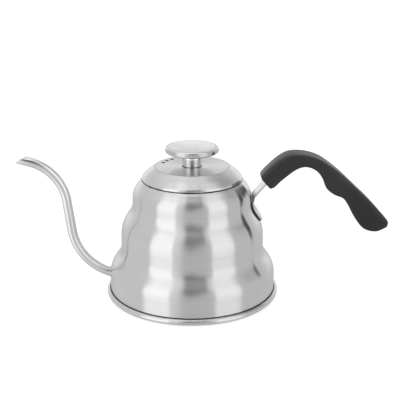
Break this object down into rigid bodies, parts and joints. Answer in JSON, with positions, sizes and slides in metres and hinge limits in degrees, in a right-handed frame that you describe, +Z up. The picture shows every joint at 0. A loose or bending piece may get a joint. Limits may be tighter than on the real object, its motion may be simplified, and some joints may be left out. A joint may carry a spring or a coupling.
{
  "type": "gooseneck kettle",
  "caption": "Tiered steel pour-over kettle on a rolled base, with a thin curved spout, a lift-off lid with a disc knob, and a black arched grip.",
  "frame": {"origin": "centre of the base's underside, on the body's axis", "axes": "+Z up the body's axis, +X towards the grip, -X along the spout, -Y towards the viewer of its side"},
  "size_m": [0.3078, 0.144, 0.1268],
  "materials": {
    "satin_steel": "satin, brushed round the axis",
    "polished_steel": "polished",
    "grip_plastic": "fine grained, satin black",
    "brass": "machined",
    "silicone": "matte"
  },
  "bodies": {
    "kettle": {"body_shell": "satin_steel", "base_plate": "satin_steel", "spout_tube": "polished_steel", "spout_weld": "polished_steel", "handle_strap": "polished_steel", "handle_grip": "grip_plastic", "grip_insert": "brass", "grip_lock_washer": "polished_steel", "grip_screw": "polished_steel"},
    "lid": {"lid_shell": "satin_steel", "lid_skirt": "satin_steel", "knob_post": "polished_steel", "knob_underplate": "polished_steel", "knob_cap": "polished_steel", "lid_seal": "silicone", "knob_lock_washer": "polished_steel", "knob_screw": "polished_steel"}
  },
  "joints": [
    {"name": "lid_lift", "type": "slide", "parent": "kettle", "child": "lid", "axis": [0, 0, 1], "range_m": [0, 0.08]}
  ]
}
